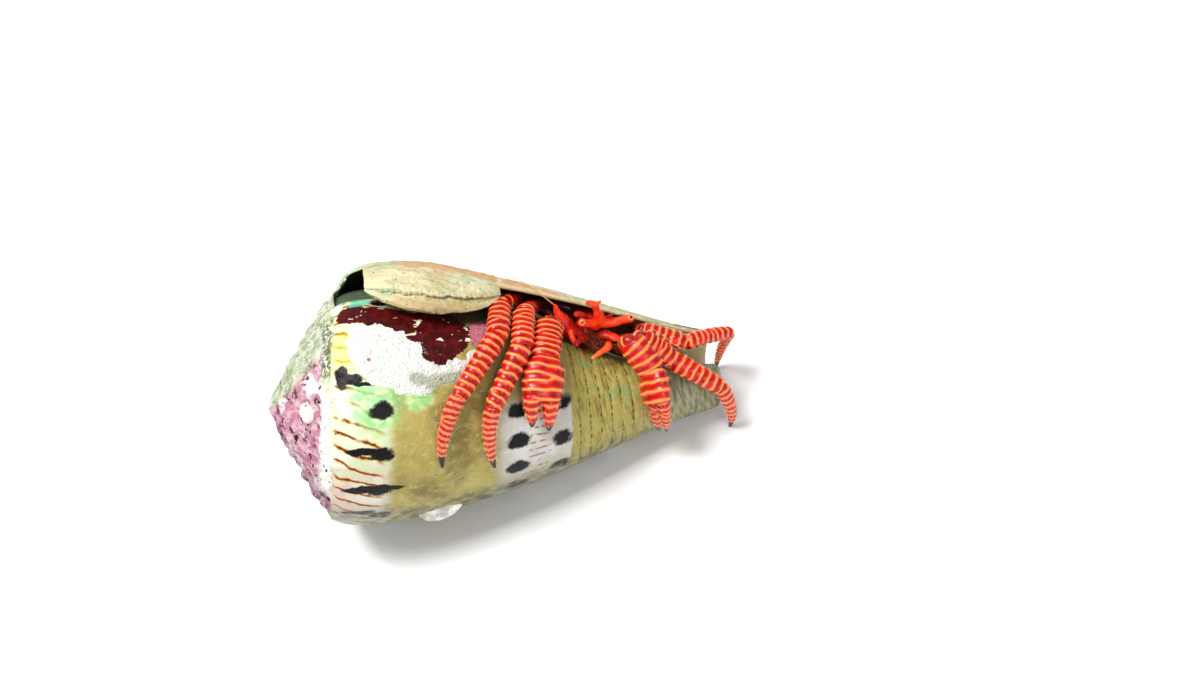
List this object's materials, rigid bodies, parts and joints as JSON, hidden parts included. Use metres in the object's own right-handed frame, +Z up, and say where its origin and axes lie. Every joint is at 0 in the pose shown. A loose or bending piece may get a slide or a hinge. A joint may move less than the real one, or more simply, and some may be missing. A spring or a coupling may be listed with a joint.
{
  "type": "hermit crab",
  "caption": "Life-size still hermit crab looking out of a worn cone shell that lies on its side, legs and claws spread over the shell.",
  "frame": {"origin": "on the floor, at the middle of the flat that the shell's widest turn rests on", "axes": "+X from the shell's pointed top to its narrow front end, +Z up, the mouth of the shell and the crab face -Y"},
  "size_m": [0.0705, 0.0382, 0.0395],
  "materials": {
    "shell": "worn, smooth to chalky, with growths",
    "lip_plate": "layered, rough edge",
    "limb": "glossy, raised orange rings",
    "face": "satin to glossy",
    "soft_body": "soft, moist",
    "eye": "wet gloss"
  },
  "bodies": {
    "root": {"abdomen_1": "soft_body", "abdomen_2": "soft_body", "abdomen_3": "soft_body", "antenna_base_left": "face", "antenna_base_right": "face", "antennule_left": "face", "antennule_right": "face", "claw_left_carpus": "limb", "claw_left_finger": "limb", "claw_left_merus": "limb", "claw_left_palm": "limb", "claw_right_carpus": "limb", "claw_right_finger": "limb", "claw_right_merus": "limb", "claw_right_palm": "limb", "eye_left": "eye", "eye_right": "eye", "eyestalk_left": "face", "eyestalk_right": "face", "feeler_left": "face", "feeler_right": "face", "leg_left_2_carpus": "limb", "leg_left_2_dactyl": "limb", "leg_left_2_merus": "limb", "leg_left_2_propodus": "limb", "leg_left_3_carpus": "limb", "leg_left_3_dactyl": "limb", "leg_left_3_merus": "limb", "leg_left_3_propodus": "limb", "leg_left_4": "soft_body", "leg_left_5": "soft_body", "leg_right_2_carpus": "limb", "leg_right_2_dactyl": "limb", "leg_right_2_merus": "limb", "leg_right_2_propodus": "limb", "leg_right_3_carpus": "limb", "leg_right_3_dactyl": "limb", "leg_right_3_merus": "limb", "leg_right_3_propodus": "limb", "leg_right_4": "soft_body", "leg_right_5": "soft_body", "lip_plate": "lip_plate", "maxilliped_left": "face", "maxilliped_right": "face", "mouthparts": "face", "shell": "shell", "shield": "face", "tail_fan": "soft_body", "thorax": "soft_body"}
  },
  "joints": []
}
